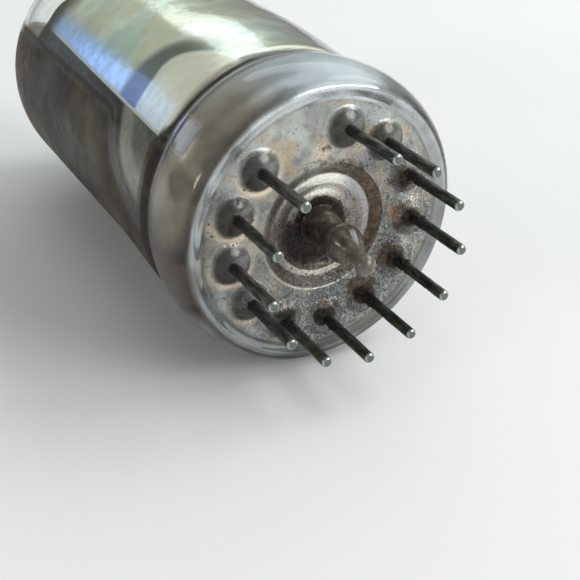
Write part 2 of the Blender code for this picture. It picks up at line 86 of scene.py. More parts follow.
# The film's lower edge: its angle in degrees at a height in mm, and degrees per mm of slant
FILM_EDGE_TURN = 143.2
FILM_EDGE_Y = 34.6
FILM_EDGE_SLANT = 0.15
FILM_MARKS = ("base_part", "dark", "shine")


def pin_centre(number):
    low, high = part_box(f"contact_pin_{number:02d}")
    return (low.x + high.x) / 2, (low.z + high.z) / 2


PINS = [pin_centre(n + 1) for n in range(PIN_COUNT)]


# ---------------------------------------------------------------- materials


class Graph:
    """A short way to write a node material. Positions are in millimetres in the row frame."""

    def __init__(self, name):
        self.material = bpy.data.materials.new(name)
        self.material.use_nodes = True
        self.tree = self.material.node_tree
        self.shader = self.tree.nodes["Principled BSDF"]
        coordinates = self.tree.nodes.new("ShaderNodeTexCoord")
        scale = self.tree.nodes.new("ShaderNodeVectorMath")
        scale.operation = "SCALE"
        scale.inputs["Scale"].default_value = 1 / MM
        self.tree.links.new(coordinates.outputs["Object"], scale.inputs[0])
        self.position = scale.outputs[0]

    def put(self, socket, value):
        if isinstance(value, bpy.types.NodeSocket):
            self.tree.links.new(value, socket)
        elif isinstance(value, tuple) and len(value) == 3 and socket.type == "RGBA":
            socket.default_value = (*value, 1.0)
        else:
            socket.default_value = value

    def set(self, **values):
        for name, value in values.items():
            self.put(self.shader.inputs[name.replace("_", " ")], value)
        return self

    def math(self, operation, a, b=0.0, clamp=False):
        node = self.tree.nodes.new("ShaderNodeMath")
        node.operation = operation
        node.use_clamp = clamp
        self.put(node.inputs[0], a)
        self.put(node.inputs[1], b)
        return node.outputs[0]

    def times(self, a, b, clamp=False):
        return self.math("MULTIPLY", a, b, clamp)

    def plus(self, a, b, clamp=False):
        return self.math("ADD", a, b, clamp)

    def minus(self, a, b, clamp=False):
        return self.math("SUBTRACT", a, b, clamp)

    def most(self, a, b, clamp=False):
        return self.math("MAXIMUM", a, b, clamp)

    def split(self):
        """The position's x, y and z."""
        node = self.tree.nodes.new("ShaderNodeSeparateXYZ")
        self.put(node.inputs[0], self.position)
        return node.outputs

    def join(self, x, y, z):
        node = self.tree.nodes.new("ShaderNodeCombineXYZ")
        for socket, value in zip(node.inputs, (x, y, z)):
            self.put(socket, value)
        return node.outputs[0]

    def noise(self, scale, detail=3.0, roughness=0.55, vector=None, distortion=0.0):
        node = self.tree.nodes.new("ShaderNodeTexNoise")
        self.put(node.inputs["Vector"], vector or self.position)
        node.inputs["Scale"].default_value = scale
        node.inputs["Detail"].default_value = detail
        node.inputs["Roughness"].default_value = roughness
        node.inputs["Distortion"].default_value = distortion
        return node.outputs["Fac"]

    def cells(self, scale):
        """Distance to the middle of the nearest of many scattered cells."""
        node = self.tree.nodes.new("ShaderNodeTexVoronoi")
        self.put(node.inputs["Vector"], self.position)
        node.inputs["Scale"].default_value = scale
        return node.outputs["Distance"]

    def step(self, value, low, high, out_low=0.0, out_high=1.0):
        """Smooth change from out_low to out_high as value goes from low to high."""
        node = self.tree.nodes.new("ShaderNodeMapRange")
        node.interpolation_type = "SMOOTHSTEP"
        numbers = (value, low, high, out_low, out_high)
        for socket, number in zip(node.inputs, numbers):
            self.put(socket, number)
        return node.outputs[0]

    def mix(self, factor, a, b):
        node = self.tree.nodes.new("ShaderNodeMix")
        node.data_type = "RGBA"
        self.put(node.inputs["Factor"], factor)
        self.put(node.inputs[6], a)
        self.put(node.inputs[7], b)
        return node.outputs[2]

    def blend(self, factor, a, b):
        """Number mix."""
        node = self.tree.nodes.new("ShaderNodeMix")
        self.put(node.inputs["Factor"], factor)
        self.put(node.inputs[2], a)
        self.put(node.inputs[3], b)
        return node.outputs[0]

    def offset(self, shift):
        """The position moved along a diagonal, for a pattern of its own."""
        node = self.tree.nodes.new("ShaderNodeVectorMath")
        self.put(node.inputs[0], self.position)
        node.inputs[1].default_value = (shift, shift, shift)
        return node.outputs[0]

    def attribute(self, name):
        node = self.tree.nodes.new("ShaderNodeAttribute")
        node.attribute_name = name
        return node.outputs["Fac"]

    def bump(self, height, strength=0.5, distance=0.05 * MM):
        node = self.tree.nodes.new("ShaderNodeBump")
        node.inputs["Strength"].default_value = strength
        node.inputs["Distance"].default_value = distance
        self.put(node.inputs["Height"], height)
        self.put(self.shader.inputs["Normal"], node.outputs[0])

    def angle(self):
        """Angle round the axis in degrees, from 0 to 360."""
        x, _, z = self.split()
        turn = self.times(self.math("ARCTAN2", z, x), 180 / math.pi)
        return self.math("MODULO", self.plus(turn, 360.0), 360.0)


def pit_mask(g, mark):
    """Two sizes of black pits, thickest on the gritty side and near the soot."""
    crowd = g.plus(g.noise(0.5, 2), g.times(mark["grit"], 0.08))
    pits = g.times(g.step(g.cells(1.7), 0.11, 0.20, 1.0, 0.0), g.step(crowd, 0.53, 0.62))
    near_soot = g.times(g.plus(mark["soot"], mark["tan"]), 0.12)
    small_crowd = g.plus(g.noise(0.8, 2, 0.5, g.offset(5.0)), near_soot)
    small_pits = g.times(g.step(g.cells(3.6), 0.15, 0.25, 1.0, 0.0), g.step(small_crowd, 0.54, 0.64))
    pits = g.times(g.most(pits, small_pits), g.step(mark["skin"], 0.3, 0.7))
    return g.times(pits, g.step(mark["bead"], 0.2, 0.8, 1.0, 0.4))


def mottled_skin(g, fine):
    """The silvery skin's own clouds: grey, with warm patches, and paler towards the top as a painted sheen.
    """
    _, _, up = g.split()
    tone = g.mix(g.step(g.noise(0.35, 3, 0.55), 0.40, 0.62), (0.22, 0.23, 0.228), (0.40, 0.37, 0.315))
    cloud = g.step(g.noise(0.6, 4, 0.6, g.offset(9.0)), 0.48, 0.66, 0.0, 0.7)
    tone = g.mix(cloud, tone, (0.46, 0.48, 0.49))
    tone = g.mix(g.step(fine, 0.48, 0.70, 0.0, 0.6), tone, (0.11, 0.095, 0.08))
    # Painted sheen: paler patches towards the top of the face.
    pale = g.step(g.noise(0.5, 4, 0.6, g.offset(15.0)), 0.36, 0.60, 0.15, 0.75)
    tone = g.mix(g.times(pale, g.step(up, 2.0, 8.5)), tone, (0.62, 0.65, 0.62))
    warm = g.step(g.noise(0.42, 4, 0.65, g.offset(31.0)), 0.50, 0.62, 0.0, 0.75)
    return g.mix(g.times(warm, g.step(up, -3.0, 3.0)), tone, (0.52, 0.41, 0.27))


def shaded_skin(g, mark, fine, tone):
    """Tan recess, dark beads, painted shade on the shaded side, a painted highlight on each clear bead, and
    the painted glints and dark specks of the grit.
    """
    tan_tone = g.mix(g.step(fine, 0.4, 0.6), (0.13, 0.095, 0.07), (0.33, 0.27, 0.215))
    tone = g.mix(mark["tan"], tone, tan_tone)
    bead_tone = g.mix(g.step(fine, 0.4, 0.65), (0.055, 0.048, 0.038), (0.11, 0.102, 0.085))
    tone = g.mix(g.times(mark["bead"], 0.9), tone, bead_tone)
    dim_tone = g.mix(g.step(fine, 0.42, 0.62), (0.020, 0.016, 0.013), (0.065, 0.054, 0.043))
    tone = g.mix(g.times(mark["dim"], 0.9), tone, dim_tone)
    # Painted highlight on the light side of each clear bead.
    tone = g.mix(mark["lit"], tone, (0.60, 0.64, 0.63))
    # Painted glints: white specks scattered over the grit.
    painted_glint = g.times(g.step(g.noise(6.5, 3, 0.9), 0.52, 0.64), g.minus(1.0, g.times(mark["dim"], 0.6)))
    tone = g.mix(g.times(painted_glint, mark["grit"]), tone, (0.90, 0.93, 0.97))
    gloom = g.step(g.noise(6.0, 3, 0.9, g.offset(11.0)), 0.50, 0.60)
    return g.mix(g.times(gloom, mark["grit"]), tone, (0.035, 0.032, 0.030))


def bright_skin(g, mark, fine, tone):
    """Painted highlights on the crescents of the recess, the worn land round the face with a painted
    highlight towards the top, and painted warm light by the beads.
    """
    across, _, _ = g.split()
    cream = g.mix(g.step(across, 1.5, 3.5), (1.0, 0.985, 0.88), (0.52, 0.56, 0.62))
    speckle = g.step(g.noise(5.0, 4, 0.85, g.offset(17.0)), 0.50, 0.62)
    speckled = g.mix(g.most(speckle, g.step(fine, 0.50, 0.68)), cream, (0.62, 0.59, 0.52))
    # Painted highlights on the recess's crescents.
    tone = g.mix(mark["bright"], tone, speckled)
    # Worn land, with its lightening towards the top a painted highlight.
    tone = g.mix(g.step(mark["worn"], 0.05, 0.35), tone, (0.72, 0.76, 0.77))
    # Painted warm light below the clear beads.
    return g.mix(mark["glow"], tone, (1.0, 0.84, 0.62))


def stained_skin(g, mark, fine, tone):
    """Rust and soot. Returns the colour and the masks of both."""
    stain = g.step(g.plus(mark["rust"], g.times(g.noise(1.1, 6, 0.75), 1.2)), 0.98, 1.18)
    rust_patches = g.step(g.noise(2.0, 4, 0.7, g.offset(3.0)), 0.42, 0.62)
    rust_tone = g.mix(rust_patches, (0.045, 0.030, 0.020), (0.19, 0.115, 0.06))
    tone = g.mix(g.times(stain, 0.85), tone, rust_tone)
    orange = g.times(mark["orange"], g.step(fine, 0.35, 0.6, 0.2, 0.7))
    tone = g.mix(orange, tone, (0.46, 0.22, 0.08))
    char = g.step(g.plus(mark["soot"], g.times(g.noise(1.5, 5, 0.75), 1.0)), 0.85, 1.32)
    char_tone = g.mix(g.step(fine, 0.45, 0.65), (0.012, 0.009, 0.008), (0.05, 0.036, 0.026))
    return g.mix(char, tone, char_tone), stain, char


def coated(g, mark, tone):
    """A pale coat on the rim that paints its light, with painted shade on the right, and brown dirt on the
    low side that is partly painted shade. Returns the colour and both amounts.
    """
    turn = g.angle()
    painted_rim_cloud = g.step(g.noise(0.3, 5, 0.6, g.offset(21.0)), 0.34, 0.62, 0.5, 1.0)
    painted_rim_shading = g.times(mark["painted_rim_shading"], painted_rim_cloud)
    # Painted light in the rim's coat: bluish on top, warm on the left, and painted shade in dark grey on the
    # right.
    painted_rim_tone = g.mix(g.step(turn, 100.0, 122.0), (0.64, 0.70, 0.74), (0.66, 0.59, 0.48))
    painted_rim_tone = g.mix(g.step(turn, 180.0, 195.0), painted_rim_tone, (0.60, 0.63, 0.62))
    right = g.plus(g.step(turn, 30.0, 60.0, 1.0, 0.0), g.step(turn, 290.0, 320.0), clamp=True)
    painted_rim_tone = g.mix(right, painted_rim_tone, (0.34, 0.33, 0.33))
    tone = g.mix(g.step(painted_rim_shading, 0.0, 0.03), tone, painted_rim_tone)
    # Brown dirt on the low side and seam, partly real and partly painted shade.
    grime_and_shade_cloud = g.step(g.noise(0.2, 4, 0.6, g.offset(23.0)), 0.32, 0.6, 0.75, 1.0)
    grime_and_shade = g.times(mark["grime_and_shade"], grime_and_shade_cloud)
    browns = g.step(g.noise(0.16, 4, 0.6, g.offset(25.0)), 0.38, 0.64)
    grime_and_shade_tone = g.mix(browns, (0.034, 0.025, 0.015), (0.105, 0.072, 0.036))
    grime_and_shade_tone = g.mix(g.step(grime_and_shade, 0.6, 0.8), grime_and_shade_tone, (0.026, 0.018, 0.014))
    return g.mix(g.step(grime_and_shade, 0.0, 0.03), tone, grime_and_shade_tone), painted_rim_shading, grime_and_shade


def skin_relief(g, mark, pits):
    """Height of the crust, the pits and the glass's own slow waves."""
    crust = g.plus(g.times(g.noise(3.5, 5, 0.75), 0.5), g.times(g.cells(7.0), mark["grit"]))
    crust = g.times(crust, g.minus(1.0, g.times(mark["bright"], 0.7)))
    crust = g.times(crust, g.minus(1.0, g.times(mark["bead"], 0.8), clamp=True))
    crust = g.times(crust, g.step(mark["worn"], 0.0, 0.3, 1.0, 0.0))
    relief = g.plus(g.times(crust, mark["skin"]), g.times(g.noise(0.4, 1), 0.35))
    return g.minus(relief, g.times(pits, 0.7))


def envelope_glass():
    """Clear aged glass. The base's face carries a silvery, stained and pitted skin."""
    g = Graph("envelope_glass")
    mark = {key: g.attribute(key) for key in MARKS + COATS}
    fine = g.noise(2.6, 5, 0.75)
    pits = pit_mask(g, mark)
    tone = mottled_skin(g, fine)
    tone = shaded_skin(g, mark, fine, tone)
    tone = bright_skin(g, mark, fine, tone)
    tone, stain, char = stained_skin(g, mark, fine, tone)
    tone = g.mix(pits, tone, (0.012, 0.010, 0.009))
    tone, painted_rim_shading, grime_and_shade = coated(g, mark, tone)
    coat = g.most(painted_rim_shading, grime_and_shade)
    stained = g.most(stain, char)

    haze = g.times(mark["skin"], g.step(fine, 0.25, 0.7, 0.85, 1.0))
    haze = g.most(haze, g.most(mark["bright"], mark["glow"]))
    wear = g.times(mark["worn"], g.step(g.noise(0.25, 3, 0.5, g.offset(2.0)), 0.38, 0.62, 0.35, 0.8))
    haze = g.most(haze, wear)
    haze = g.most(haze, g.times(stained, 0.95))
    haze = g.most(haze, g.times(pits, 0.95), clamp=True)
    haze = g.most(haze, coat, clamp=True)
    dull = g.most(g.most(stained, pits), g.times(mark["bead"], 0.6), clamp=True)
    dull = g.most(dull, g.step(coat, 0.0, 0.03), clamp=True)
    skin_rough = g.blend(mark["bright"], g.step(fine, 0.3, 0.7, 0.2, 0.36), 0.15)
    rough = g.blend(g.step(haze, 0.2, 0.6), 0.02, skin_rough)

    g.set(Base_Color=g.mix(g.step(haze, 0.02, 0.14), (0.93, 0.94, 0.93), tone))
    g.set(Transmission_Weight=g.minus(1.0, haze, clamp=True))
    g.set(Metallic=g.times(haze, g.blend(dull, 0.8, 0.05)))
    g.set(Roughness=g.blend(g.step(grime_and_shade, 0.2, 0.8), rough, 0.6))
    g.set(IOR=1.45, Specular_Tint=(0.3, 0.3, 0.3))
    g.bump(skin_relief(g, mark, pits), 0.8, 0.1 * MM)
    return g.material


def smoked_glass():
    """Exhaust tip: almost black with soot at its foot, brown in the bulge, clearer at the nib."""
    g = Graph("smoked_glass")
    _, along, _ = g.split()
    patches = g.noise(0.9, 5, 0.7)
    height = g.plus(along, g.times(g.minus(patches, 0.5), 3.0))
    foot = g.step(height, -2.4, -0.8)
    nib = g.step(height, -5.8, -4.2, 1.0, 0.0)
    body = g.mix(g.step(patches, 0.38, 0.62), (0.15, 0.118, 0.092), (0.055, 0.042, 0.033))
    colour = g.mix(nib, body, (0.30, 0.25, 0.20))
    soot_patches = g.step(g.noise(1.3, 5, 0.75, g.offset(4.0)), 0.45, 0.65)
    black = g.mix(soot_patches, (0.018, 0.012, 0.010), (0.13, 0.092, 0.066))
    colour = g.mix(foot, colour, black)
    g.set(Base_Color=colour)
    g.set(Transmission_Weight=g.blend(foot, g.blend(nib, 0.45, 0.62), 0.05))
    g.set(Roughness=g.blend(foot, g.step(patches, 0.3, 0.7, 0.25, 0.31), 0.45))
    g.set(IOR=1.5, Coat_Weight=0.5, Coat_Roughness=0.12)
    g.bump(g.noise(1.2, 4), 0.35, 0.08 * MM)
    return g.material


def patch_reach(g, turn, along, cloud):
    """Distance in mm on the wall from the middle of the cream half disc by the seam."""
    arc_length = math.radians(1) * BULB_R / MM
    across = g.times(g.minus(turn, PATCH_TURN), arc_length)
    up = g.minus(along, PATCH_Y / MM)
    reach = g.math("SQRT", g.plus(g.times(across, across), g.times(up, up)))
    return g.plus(reach, g.times(g.minus(cloud, 0.5), 1.6))


def upper_film(g, turn, along, cloud, fine, reach):
    """Silver with a painted blue reflection and a painted highlight, and the cream half disc and its dark
    edge. Returns the colour and the disc.
    """
    tone = g.mix(g.step(cloud, 0.36, 0.62), (0.48, 0.57, 0.52), (0.74, 0.78, 0.70))
    gold = g.step(g.noise(0.16, 3, 0.5, g.offset(7.0)), 0.44, 0.60, 0.0, 0.7)
    tone = g.mix(gold, tone, (0.60, 0.56, 0.40))
    tone = g.mix(g.step(fine, 0.52, 0.8, 0.0, 0.25), tone, (0.50, 0.48, 0.40))
    tone = g.mix(g.step(turn, 70.0, 80.0, 0.35, 0.0), tone, (0.42, 0.34, 0.28))
    # Painted reflection: the film tinted blue towards the far end, where it mirrors the blue window.
    painted_blue_reflection = g.times(g.step(turn, 128.0, 136.0, 0.0, 0.9), g.step(along, 18.0, 32.0, 0.25, 1.0))
    tone = g.mix(painted_blue_reflection, tone, (0.47, 0.62, 0.84))
    # Painted highlight: a pale cream band where the dark ring fades on the upper side.
    glow = g.times(g.step(reach, 9.0, 10.2), g.step(reach, 11.0, 13.0, 1.0, 0.0))
    tone = g.mix(g.times(glow, g.step(turn, 108.0, 116.0, 1.0, 0.0)), tone, (0.60, 0.61, 0.52))
    inner_reach = g.plus(reach, g.step(turn, 118.0, 138.0, 0.0, 1.6))
    disc = g.step(inner_reach, 8.2, 8.6, 1.0, 0.0)
    tone = g.mix(disc, tone, g.mix(g.step(cloud, 0.4, 0.62), (0.99, 0.97, 0.84), (0.94, 0.88, 0.74)))
    ring = g.times(g.step(inner_reach, 8.4, 9.0), g.step(reach, 10.2, 11.9, 1.0, 0.0))
    ring = g.times(ring, g.step(turn, 98.0, 116.0))
    ring_tone = g.mix(g.step(turn, 120.0, 134.0), (0.10, 0.115, 0.10), (0.15, 0.165, 0.20))
    return g.mix(g.times(ring, 0.95), tone, ring_tone), disc


def lower_film(g, turn, along, fine, reach):
    """Brown below the film's edge, charcoal beside it, and the pale arcs that end the half disc."""
    brown = g.mix(g.step(g.noise(0.3, 5, 0.65), 0.42, 0.60), (0.022, 0.013, 0.006), (0.15, 0.085, 0.028))
    brown = g.mix(g.step(g.noise(0.22, 3), 0.52, 0.66, 0.0, 0.7), brown, (0.05, 0.042, 0.012))
    streak = g.noise(0.5, 5, 0.7, g.join(turn, g.times(along, 0.35), 0.0))
    brown = g.mix(g.step(streak, 0.52, 0.70, 0.0, 0.5), brown, (0.004, 0.003, 0.003))
    charcoal = g.mix(g.step(along, 22.0, 32.0), (0.022, 0.024, 0.028), (0.11, 0.135, 0.16))
    brown = g.mix(g.step(turn, 145.0, 157.0, 0.85, 0.0), brown, charcoal)
    ripple = g.noise(0.5, 2, 0.5, g.join(reach, g.times(turn, 0.012), 0.0))
    inner_tone = g.mix(g.step(ripple, 0.34, 0.66), (0.10, 0.095, 0.075), (0.30, 0.31, 0.25))
    near = g.times(g.step(reach, 6.8, 7.6, 1.0, 0.0), g.step(turn, 145.0, 150.0, 0.7, 0.9))
    brown = g.mix(near, brown, inner_tone)
    arc = g.times(g.step(reach, 6.3, 7.2), g.step(reach, 8.6, 9.8, 1.0, 0.0))
    brown = g.mix(g.times(arc, g.step(turn, 172.0, 195.0, 0.9, 0.0)), brown, (0.44, 0.46, 0.38))
    underside = g.mix(g.step(fine, 0.4, 0.6), (0.085, 0.048, 0.02), (0.03, 0.017, 0.009))
    return g.mix(g.step(turn, 166.0, 184.0), brown, underside)


def base_film(g, turn, fine, tone):
    """The film behind the pressed base. Returns the colour and the masks base_part, dark and shine."""
    base_part, dark, shine = (g.attribute(key) for key in FILM_MARKS)
    stem_clouds = g.step(g.noise(0.22, 3, 0.5), 0.40, 0.62)
    stem_tone = g.mix(stem_clouds, (0.24, 0.225, 0.195), (0.42, 0.40, 0.355))
    cool = g.times(g.step(turn, 40.0, 60.0), g.step(turn, 112.0, 135.0, 1.0, 0.0))
    stem_tone = g.mix(g.times(cool, 0.8), stem_tone, (0.42, 0.455, 0.47))
    tawny = g.times(g.step(turn, 158.0, 182.0), g.step(turn, 235.0, 275.0, 1.0, 0.0))
    tawny_clouds = g.step(g.noise(0.3, 3, 0.5), 0.42, 0.6)
    tawny_tone = g.mix(tawny_clouds, (0.125, 0.09, 0.072), (0.036, 0.024, 0.020))
    stem_tone = g.mix(g.times(tawny, 0.9), stem_tone, tawny_tone)
    tone = g.mix(base_part, tone, stem_tone)
    # Painted reflection: the shine patch is a glossier film tinted blue.
    tone = g.mix(shine, tone, (0.72, 0.76, 1.0))
    # The dark mark: painted shade round the pins and in the spots of SHADOWS, and a dark band along the seam.
    dark_tone = g.mix(g.step(fine, 0.4, 0.7), (0.040, 0.029, 0.024), (0.085, 0.062, 0.050))
    return g.mix(dark, tone, dark_tone), base_part, dark, shine


def silver_film():
    """Getter mirror: silver on top, a cream half disc by the seam with a dark edge, brown below."""
    g = Graph("silver_film")
    _, along, _ = g.split()
    turn = g.angle()
    cloud = g.noise(0.12, 3, 0.5)
    fine = g.noise(1.2, 4, 0.6)
    reach = patch_reach(g, turn, along, cloud)
    tone, disc = upper_film(g, turn, along, cloud, fine, reach)

    slant = g.times(g.minus(along, FILM_EDGE_Y), FILM_EDGE_SLANT)
    edge = g.plus(g.plus(turn, slant), g.times(cloud, 0.6))
    past_edge = g.step(edge, FILM_EDGE_TURN, FILM_EDGE_TURN + 0.6)
    low_side = g.times(past_edge, g.step(turn, 318.0, 345.0, 1.0, 0.0))
    # Painted reflection: a cream line just above the film's lower edge.
    painted_edge_reflection = g.times(
        g.step(edge, FILM_EDGE_TURN - 1.3, FILM_EDGE_TURN - 0.7),
        g.step(edge, FILM_EDGE_TURN, FILM_EDGE_TURN + 0.6, 1.0, 0.0),
    )
    tone = g.mix(painted_edge_reflection, tone, (1.0, 0.98, 0.88))
    tone = g.mix(low_side, tone, lower_film(g, turn, along, fine, reach))
    hidden = g.plus(g.step(turn, 62.0, 70.0, 1.0, 0.0), g.step(turn, 318.0, 330.0), clamp=True)
    hidden_tone = g.mix(g.step(cloud, 0.38, 0.62), (0.20, 0.185, 0.165), (0.36, 0.345, 0.32))
    tone = g.mix(hidden, tone, hidden_tone)
    tone, base_part, dark, shine = base_film(g, turn, fine, tone)
    film_top = film_high.y / MM
    fringe = g.step(g.plus(along, g.times(cloud, 3.0)), film_top - 2.5, film_top + 1.0)
    tone = g.mix(fringe, tone, (0.07, 0.04, 0.025))

    dull = g.most(g.times(low_side, 0.5), g.times(dark, 0.8), clamp=True)
    soft = g.times(g.most(dull, base_part), g.minus(1.0, shine))
    soft = g.most(soft, g.most(painted_edge_reflection, g.times(disc, 0.35)))
    g.set(Base_Color=tone)
    g.set(Metallic=g.minus(1.0, dull, clamp=True))
    g.set(Roughness=g.plus(g.step(fine, 0.3, 0.7, 0.07, 0.13), g.times(soft, 0.32)))
    g.set(Specular_IOR_Level=0.1)
    g.bump(g.noise(0.5, 2), 0.08, 0.03 * MM)
    return g.material


def pin_metal(tip_y):
    """Dark oxidised wire with soot near the glass and a worn bright tip."""
    g = Graph("pin_metal")
    x, along, z = g.split()
    streaks = g.noise(3.0, 4, 0.7, g.join(x, g.times(along, 0.18), z))
    blotch = g.noise(1.4, 4, 0.65)
    colour = g.mix(g.step(streaks, 0.4, 0.68), (0.034, 0.034, 0.030), (0.16, 0.16, 0.145))
    colour = g.mix(g.step(blotch, 0.55, 0.7, 0.0, 0.5), colour, (0.11, 0.10, 0.06))
    root = g.plus(along, g.times(blotch, 1.6))
    soot = g.step(root, -2.6, -1.2)
    colour = g.mix(soot, colour, (0.012, 0.011, 0.010))
    tip_mm = tip_y / MM
    from_tip = g.minus(g.plus(along, g.times(streaks, 0.3)), tip_mm)
    worn = g.step(from_tip, 0.2, 0.45, 1.0, 0.0)
    end_face = g.step(along, tip_mm + 0.01, tip_mm + 0.03, 1.0, 0.0)
    colour = g.mix(worn, colour, g.mix(end_face, (0.42, 0.46, 0.44), (0.15, 0.17, 0.16)))
    g.set(Base_Color=colour)
    g.set(Metallic=g.blend(soot, 0.85, 0.2))
    g.set(Roughness=g.blend(worn, g.step(blotch, 0.3, 0.7, 0.32, 0.6), 0.25))
    g.bump(g.plus(streaks, g.times(g.noise(9.0, 3), 0.5)), 0.4, 0.03 * MM)
    return g.material


def sheet_metal(name, dark, light, rough, metallic=1.0, scale=0.5):
    g = Graph(name)
    grain = g.noise(scale * 6, 4, 0.7)
    cloud = g.noise(scale, 4, 0.6)
    colour = g.mix(g.step(cloud, 0.35, 0.65), dark, light)
    g.set(Base_Color=g.mix(g.step(grain, 0.45, 0.75, 0.0, 0.4), colour, dark))
    g.set(Metallic=metallic)
    g.set(Roughness=g.step(cloud, 0.3, 0.7, rough - 0.08, rough + 0.1))
    g.bump(grain, 0.3, 0.02 * MM)
    return g.material


def mica_sheet():
    g = Graph("mica_sheet")
    flakes = g.noise(0.5, 5, 0.7, distortion=1.5)
    colour = g.mix(g.step(flakes, 0.4, 0.65), (0.80, 0.78, 0.70), (0.58, 0.53, 0.44))
    g.set(Base_Color=colour, Transmission_Weight=0.35, Roughness=g.step(flakes, 0.3, 0.7, 0.12, 0.35))
    g.bump(flakes, 0.2, 0.02 * MM)
    return g.material


def floor_paint():
    g = Graph("floor_paint")
    mottle = g.noise(0.02, 3)
    g.set(Base_Color=g.mix(mottle, (0.86, 0.86, 0.86), (0.90, 0.90, 0.90)), Roughness=0.7)
    return g.material


# ---------------------------------------------------------------- mesh helpers


def add_mesh(name, points, faces, material, attributes=None):
    mesh = bpy.data.meshes.new(name)
    mesh.from_pydata([tuple(p) for p in points], [], faces)
    mesh.shade_smooth()
    mesh.materials.append(material)
    for key, values in (attributes or {}).items():
        layer = mesh.attributes.new(key, "FLOAT", "POINT")
        layer.data.foreach_set("value", np.asarray(values, dtype=np.float32))
    piece = bpy.data.objects.new(name, mesh)
    bpy.context.scene.collection.objects.link(piece)
    return piece


def grid_faces(rings, sides, first=0, flip=False):
    """Quads between successive closed rings of corners."""
    faces = []
    for k in range(rings - 1):
        a = first + k * sides
        b = a + sides
        for i in range(sides):
            j = (i + 1) % sides
            face = (a + i, a + j, b + j, b + i)
            faces.append(face[::-1] if flip else face)
    return faces


def fan(centre, ring_start, sides, flip=False):
    faces = []
    for i in range(sides):
        face = (centre, ring_start + i, ring_start + (i + 1) % sides)
        faces.append(face[::-1] if flip else face)
    return faces


def curve_through(points, steps):
    """Catmull-Rom through (radius, y) points."""
    guide = [2 * np.array(points[0]) - np.array(points[1])] + [np.array(p) for p in points]
    guide.append(2 * guide[-1] - guide[-2])
    path = []
    for a, b, c, d in zip(guide, guide[1:], guide[2:], guide[3:]):
        for i in range(steps):
            t = i / steps
            bend = (2 * a - 5 * b + 4 * c - d) * t ** 2 + (3 * b - a - 3 * c + d) * t ** 3
            path.append((2 * b + (c - a) * t + bend) / 2)
    path.append(guide[-2])
    return path


def dome_curve(radius, top, height, steps):
    """Quarter ellipse from the wall to just short of the pole."""
    path = []
    for i in range(steps):
        turn = math.pi / 2 * i / steps
        path.append((radius * math.cos(turn), top - height + height * math.sin(turn)))
    return path


def smooth(value, low, high):
    t = np.clip((value - low) / (high - low), 0.0, 1.0)
    return t * t * (3 - 2 * t)


# ---------------------------------------------------------------- glass envelope


def pin_distances(x, z):
    return np.stack([np.hypot(x - px, z - pz) for px, pz in PINS])


def face_height(x, z):
    """The pressed face: a stepped recess in the middle and a bead round each pin."""
    r = np.hypot(x, z)
    y = np.full_like(r, FACE_Y)
    y = y + STEP_DEPTH * smooth(r, RECESS_R, RECESS_STEP_R)
    y = y - 0.06 * MM * np.exp(-((r - RECESS_STEP_R + 0.2 * MM) / (0.3 * MM)) ** 2)
    y = y + (RECESS_DEPTH - STEP_DEPTH) * smooth(r, RECESS_STEP_R - 0.5 * MM, RECESS_STEP_R - 1.5 * MM)
    y = y - 0.06 * MM * np.exp(-((r - 3.2 * MM) / (0.35 * MM)) ** 2)
    y = y - 0.04 * MM * np.exp(-((r - RECESS_R - 0.1 * MM) / (0.14 * MM)) ** 2)
    d = pin_distances(x, z).min(axis=0)
    share = np.clip(1 - (d / BEAD_R) ** 2, 0.0, 1.0)
    y = y - BEAD_HEIGHT * share ** 0.7
    wave = 0.02 * MM * np.sin(x / (1.7 * MM) + 1.3) * np.sin(z / (1.3 * MM) + 0.4)
    return y + wave


def facing(x, z, degrees):
    """1 on the side of the face at that angle, 0 on the opposite side."""
    return 0.5 + 0.5 * np.cos(np.arctan2(z, x) - math.radians(degrees))


def between(value, low, high, ramp):
    """1 between low and high, falling to 0 over the ramp on either side."""
    return smooth(value, low - ramp, low) * (1 - smooth(value, high, high + ramp))


# By pin number: how much of the silvery skin covers the bead, how rusty the face is round the pin,
# how strong the painted warm light below the bead is, and how much tar sits by the pin's root
SKIN_OF_BEAD = {3: 0.7, 4: 0.75, 5: 0.9, 6: 0.95, 7: 0.9, 8: 0.85, 9: 0.55}
RUST_OF_PIN = {3: 0.45, 4: 0.5, 5: 0.55, 6: 0.6, 7: 0.45, 8: 0.4}
GLOW_OF_BEAD = {9: 0.3, 10: 0.7, 11: 0.6, 12: 0.95}
TAR_OF_PIN = {5: 0.9, 6: 1.2, 7: 1.1, 8: 0.8}
CLEAR_BEADS = (1, 2, 9, 10, 11, 12)
ORANGE_PIN = 4

# Painted highlights, the bright arcs of the recess: strength, inner radius, outer radius and ramp in mm, the
# angle that each arc is brightest at, and how fast it fades from there
BRIGHT_ARCS = (
    (1.2, 4.2, 4.95, 0.25, 85, 4.5),
    (0.65, 4.6, 4.95, 0.2, 35, 3),
    (0.6, 3.3, 4.3, 0.3, 90, 4),
    (1.2, 2.9, 3.4, 0.25, 105, 4),
    (0.7, 4.6, 5.0, 0.15, 265, 4),
)
MARKS = ("skin", "rust", "soot", "bright", "grit", "worn", "bead", "tan", "glow", "dim", "lit", "orange")
COATS = ("painted_rim_shading", "grime_and_shade")

# The outside rings before this one are the face's own rim, which carries marks and no coat
FIRST_COATED_RING = 13


def from_pin(x, z, number, share=1.0, across=0.0, up=0.0):
    """Distance from a pin, or from a point at a share of its radius, moved by across and up in mm."""
    px, pz = PINS[number - 1]
    return np.hypot(x - share * px - across * MM, z - share * pz - up * MM)


def round_pin(x, z, number, degrees):
    """1 on the side of the pin at that angle, 0 on the opposite side."""
    px, pz = PINS[number - 1]
    return facing(x - px, z - pz, degrees)


def recess_slope(r):
    """1 on the slope from the recess's step up to its edge."""
    return between(r, RECESS_STEP_R + 0.25 * MM, RECESS_R, 0.2 * MM)


